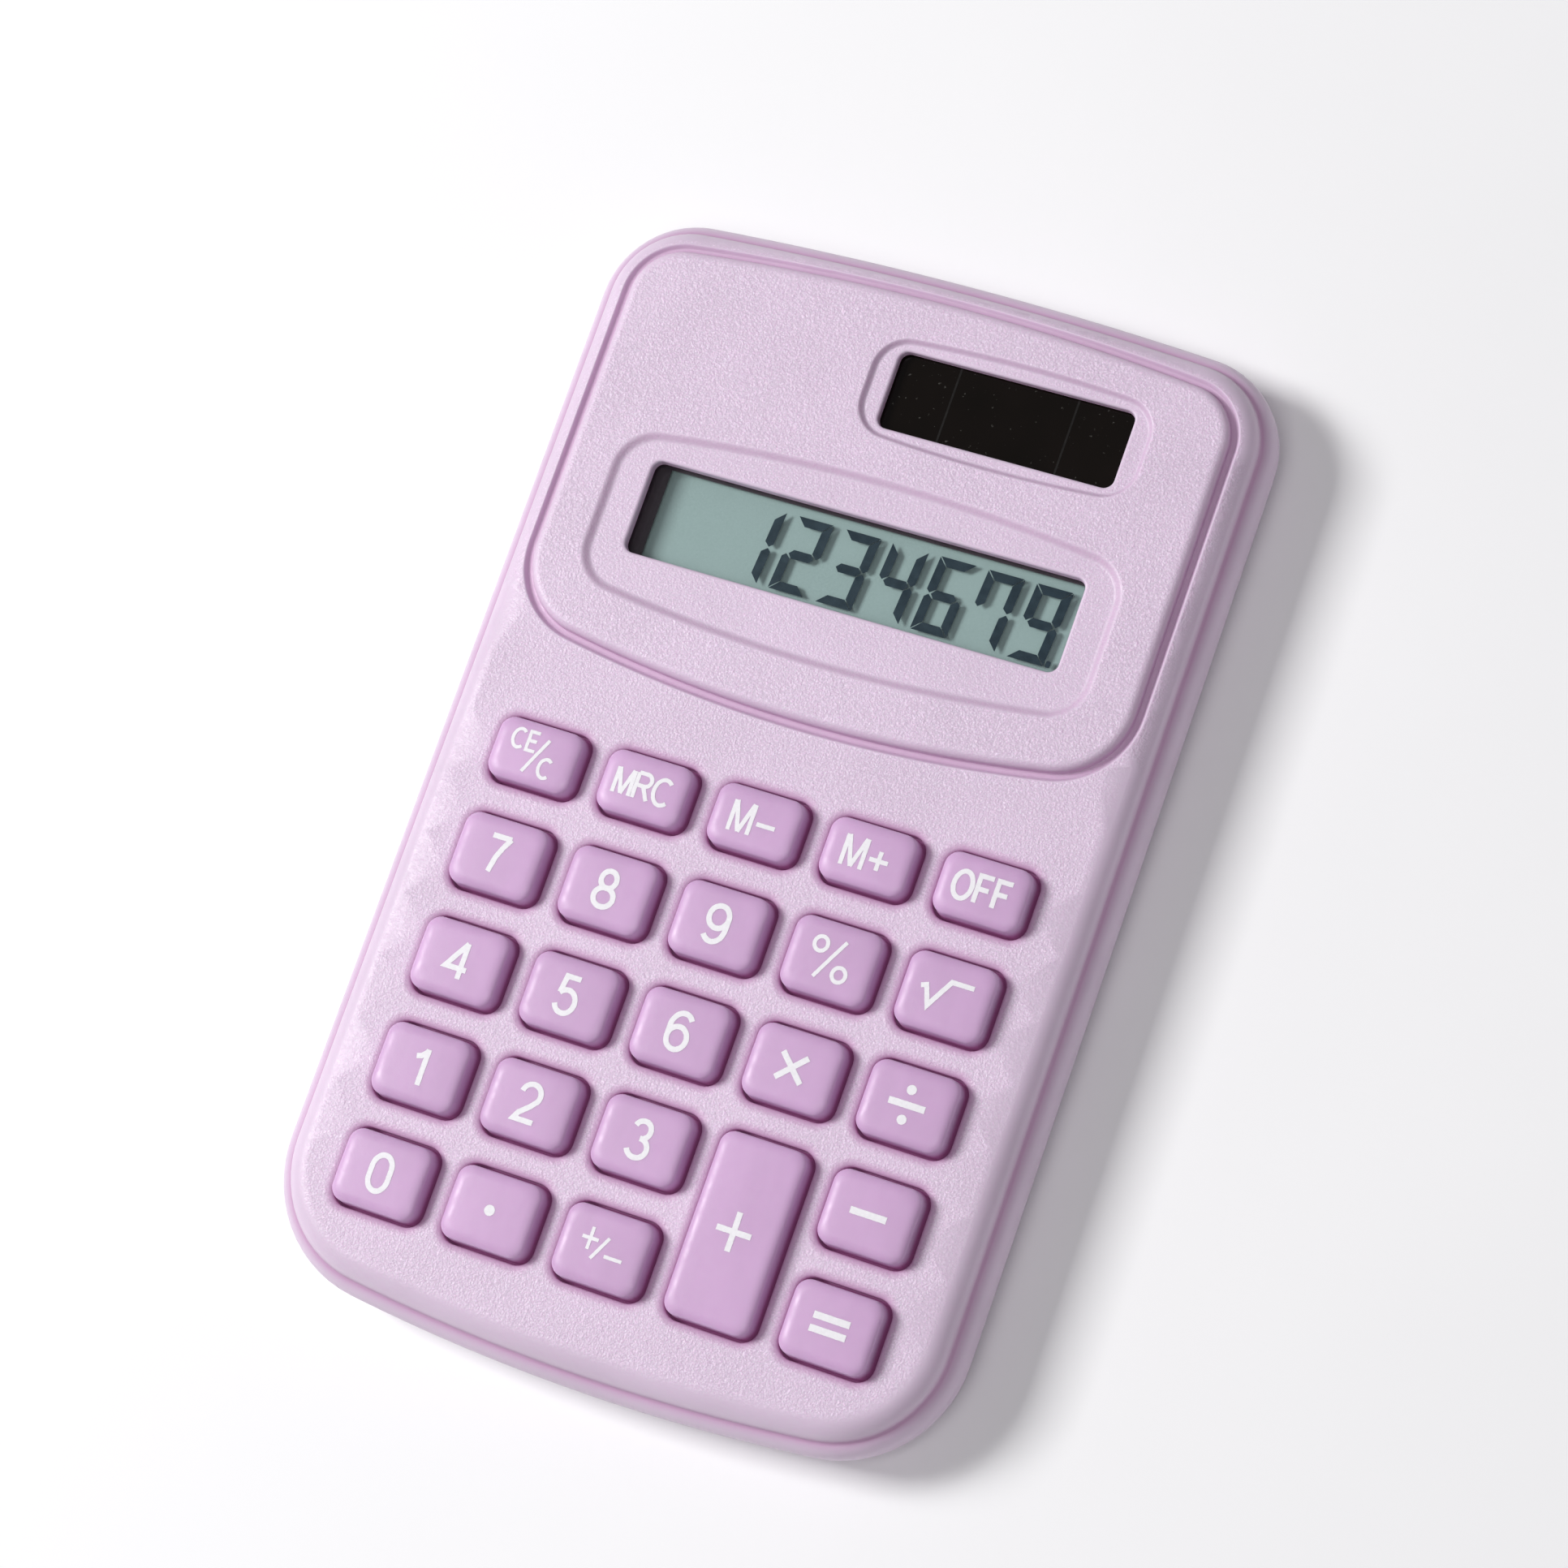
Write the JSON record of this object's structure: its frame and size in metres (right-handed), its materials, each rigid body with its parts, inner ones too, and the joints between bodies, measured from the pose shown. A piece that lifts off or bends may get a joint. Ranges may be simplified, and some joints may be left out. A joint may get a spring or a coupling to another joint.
{
  "type": "pocket calculator",
  "caption": "Flat pocket calculator: two lavender shells, rounded keys that press, a recessed liquid crystal display, a solar cell and a sliding coin cell door.",
  "frame": {"origin": "under the middle of the case, on the surface that the calculator lies on", "axes": "+X to the right, +Y towards the display end, +Z out of the face"},
  "size_m": [0.0622, 0.1, 0.0104],
  "materials": {
    "shell_plastic": "pearly lavender moulding, fine spark-eroded grain on the flats, satin edges",
    "key_plastic": "smooth satin lilac moulding with slightly rounded edges",
    "legend_ink": "white pad-printed ink",
    "silicone": "matt translucent white silicone",
    "board_laminate": "tan paper laminate with a satin face",
    "black_epoxy": "glossy black potting epoxy",
    "black_plastic": "black sleeve",
    "red_plastic": "red coating",
    "polariser_film": "grey-green polarising film",
    "display_glass": "thin clear display glass",
    "display_segment": "dark slate display segments",
    "foam": "soft black foam",
    "solar_glass": "almost black brown solar glass with faint cell lines",
    "cell_steel": "bright nickel-plated steel can",
    "contact_steel": "plated spring strip",
    "screw_steel": "dark zinc-plated steel"
  },
  "bodies": {
    "housing": {"front_shell": "shell_plastic", "back_shell": "shell_plastic", "keypad_mat": "silicone", "circuit_board": "board_laminate", "chip_blob": "black_epoxy", "capacitor": "black_plastic", "clamp_diode": "red_plastic", "display_front_polariser": "polariser_film", "display_front_glass": "display_glass", "display_rear_glass": "display_glass", "display_reflector": "polariser_film", "display_contact_strip": "silicone", "display_foam": "foam", "solar_cell": "solar_glass", "solar_lead_plus": "red_plastic", "solar_lead_minus": "black_plastic", "battery_cell": "cell_steel", "battery_contact_minus": "contact_steel", "battery_contact_plus": "contact_steel", "case_screw_1": "screw_steel", "case_screw_2": "screw_steel", "case_screw_3": "screw_steel", "case_screw_4": "screw_steel", "board_screw_1": "screw_steel", "board_screw_2": "screw_steel"},
    "battery_door": {"battery_door": "shell_plastic"},
    "key_ce_c": {"key_ce_c": "key_plastic"},
    "key_mrc": {"key_mrc": "key_plastic"},
    "key_m_minus": {"key_m_minus": "key_plastic"},
    "key_m_plus": {"key_m_plus": "key_plastic"},
    "key_off": {"key_off": "key_plastic"},
    "key_7": {"key_7": "key_plastic"},
    "key_8": {"key_8": "key_plastic"},
    "key_9": {"key_9": "key_plastic"},
    "key_percent": {"key_percent": "key_plastic"},
    "key_root": {"key_root": "key_plastic"},
    "key_4": {"key_4": "key_plastic"},
    "key_5": {"key_5": "key_plastic"},
    "key_6": {"key_6": "key_plastic"},
    "key_multiply": {"key_multiply": "key_plastic"},
    "key_divide": {"key_divide": "key_plastic"},
    "key_1": {"key_1": "key_plastic"},
    "key_2": {"key_2": "key_plastic"},
    "key_3": {"key_3": "key_plastic"},
    "key_plus": {"key_plus": "key_plastic"},
    "key_minus": {"key_minus": "key_plastic"},
    "key_0": {"key_0": "key_plastic"},
    "key_point": {"key_point": "key_plastic"},
    "key_sign": {"key_sign": "key_plastic"},
    "key_equals": {"key_equals": "key_plastic"}
  },
  "joints": [
    {"name": "battery_door_slide", "type": "slide", "parent": "housing", "child": "battery_door", "axis": [0, 1, 0], "range_m": [0, 0.01]},
    {"name": "press_ce_c", "type": "slide", "parent": "housing", "child": "key_ce_c", "axis": [0, 0, -1], "range_m": [0, 0.0009], "stiffness_N_per_m": 350, "springref_m": -0.0005, "deforming": ["keypad_mat"]},
    {"name": "press_mrc", "type": "slide", "parent": "housing", "child": "key_mrc", "axis": [0, 0, -1], "range_m": [0, 0.0009], "stiffness_N_per_m": 350, "springref_m": -0.0005, "deforming": ["keypad_mat"]},
    {"name": "press_m_minus", "type": "slide", "parent": "housing", "child": "key_m_minus", "axis": [0, 0, -1], "range_m": [0, 0.0009], "stiffness_N_per_m": 350, "springref_m": -0.0005, "deforming": ["keypad_mat"]},
    {"name": "press_m_plus", "type": "slide", "parent": "housing", "child": "key_m_plus", "axis": [0, 0, -1], "range_m": [0, 0.0009], "stiffness_N_per_m": 350, "springref_m": -0.0005, "deforming": ["keypad_mat"]},
    {"name": "press_off", "type": "slide", "parent": "housing", "child": "key_off", "axis": [0, 0, -1], "range_m": [0, 0.0009], "stiffness_N_per_m": 350, "springref_m": -0.0005, "deforming": ["keypad_mat"]},
    {"name": "press_7", "type": "slide", "parent": "housing", "child": "key_7", "axis": [0, 0, -1], "range_m": [0, 0.0009], "stiffness_N_per_m": 350, "springref_m": -0.0005, "deforming": ["keypad_mat"]},
    {"name": "press_8", "type": "slide", "parent": "housing", "child": "key_8", "axis": [0, 0, -1], "range_m": [0, 0.0009], "stiffness_N_per_m": 350, "springref_m": -0.0005, "deforming": ["keypad_mat"]},
    {"name": "press_9", "type": "slide", "parent": "housing", "child": "key_9", "axis": [0, 0, -1], "range_m": [0, 0.0009], "stiffness_N_per_m": 350, "springref_m": -0.0005, "deforming": ["keypad_mat"]},
    {"name": "press_percent", "type": "slide", "parent": "housing", "child": "key_percent", "axis": [0, 0, -1], "range_m": [0, 0.0009], "stiffness_N_per_m": 350, "springref_m": -0.0005, "deforming": ["keypad_mat"]},
    {"name": "press_root", "type": "slide", "parent": "housing", "child": "key_root", "axis": [0, 0, -1], "range_m": [0, 0.0009], "stiffness_N_per_m": 350, "springref_m": -0.0005, "deforming": ["keypad_mat"]},
    {"name": "press_4", "type": "slide", "parent": "housing", "child": "key_4", "axis": [0, 0, -1], "range_m": [0, 0.0009], "stiffness_N_per_m": 350, "springref_m": -0.0005, "deforming": ["keypad_mat"]},
    {"name": "press_5", "type": "slide", "parent": "housing", "child": "key_5", "axis": [0, 0, -1], "range_m": [0, 0.0009], "stiffness_N_per_m": 350, "springref_m": -0.0005, "deforming": ["keypad_mat"]},
    {"name": "press_6", "type": "slide", "parent": "housing", "child": "key_6", "axis": [0, 0, -1], "range_m": [0, 0.0009], "stiffness_N_per_m": 350, "springref_m": -0.0005, "deforming": ["keypad_mat"]},
    {"name": "press_multiply", "type": "slide", "parent": "housing", "child": "key_multiply", "axis": [0, 0, -1], "range_m": [0, 0.0009], "stiffness_N_per_m": 350, "springref_m": -0.0005, "deforming": ["keypad_mat"]},
    {"name": "press_divide", "type": "slide", "parent": "housing", "child": "key_divide", "axis": [0, 0, -1], "range_m": [0, 0.0009], "stiffness_N_per_m": 350, "springref_m": -0.0005, "deforming": ["keypad_mat"]},
    {"name": "press_1", "type": "slide", "parent": "housing", "child": "key_1", "axis": [0, 0, -1], "range_m": [0, 0.0009], "stiffness_N_per_m": 350, "springref_m": -0.0005, "deforming": ["keypad_mat"]},
    {"name": "press_2", "type": "slide", "parent": "housing", "child": "key_2", "axis": [0, 0, -1], "range_m": [0, 0.0009], "stiffness_N_per_m": 350, "springref_m": -0.0005, "deforming": ["keypad_mat"]},
    {"name": "press_3", "type": "slide", "parent": "housing", "child": "key_3", "axis": [0, 0, -1], "range_m": [0, 0.0009], "stiffness_N_per_m": 350, "springref_m": -0.0005, "deforming": ["keypad_mat"]},
    {"name": "press_plus", "type": "slide", "parent": "housing", "child": "key_plus", "axis": [0, 0, -1], "range_m": [0, 0.0009], "stiffness_N_per_m": 350, "springref_m": -0.0005, "deforming": ["keypad_mat"]},
    {"name": "press_minus", "type": "slide", "parent": "housing", "child": "key_minus", "axis": [0, 0, -1], "range_m": [0, 0.0009], "stiffness_N_per_m": 350, "springref_m": -0.0005, "deforming": ["keypad_mat"]},
    {"name": "press_0", "type": "slide", "parent": "housing", "child": "key_0", "axis": [0, 0, -1], "range_m": [0, 0.0009], "stiffness_N_per_m": 350, "springref_m": -0.0005, "deforming": ["keypad_mat"]},
    {"name": "press_point", "type": "slide", "parent": "housing", "child": "key_point", "axis": [0, 0, -1], "range_m": [0, 0.0009], "stiffness_N_per_m": 350, "springref_m": -0.0005, "deforming": ["keypad_mat"]},
    {"name": "press_sign", "type": "slide", "parent": "housing", "child": "key_sign", "axis": [0, 0, -1], "range_m": [0, 0.0009], "stiffness_N_per_m": 350, "springref_m": -0.0005, "deforming": ["keypad_mat"]},
    {"name": "press_equals", "type": "slide", "parent": "housing", "child": "key_equals", "axis": [0, 0, -1], "range_m": [0, 0.0009], "stiffness_N_per_m": 350, "springref_m": -0.0005, "deforming": ["keypad_mat"]}
  ]
}
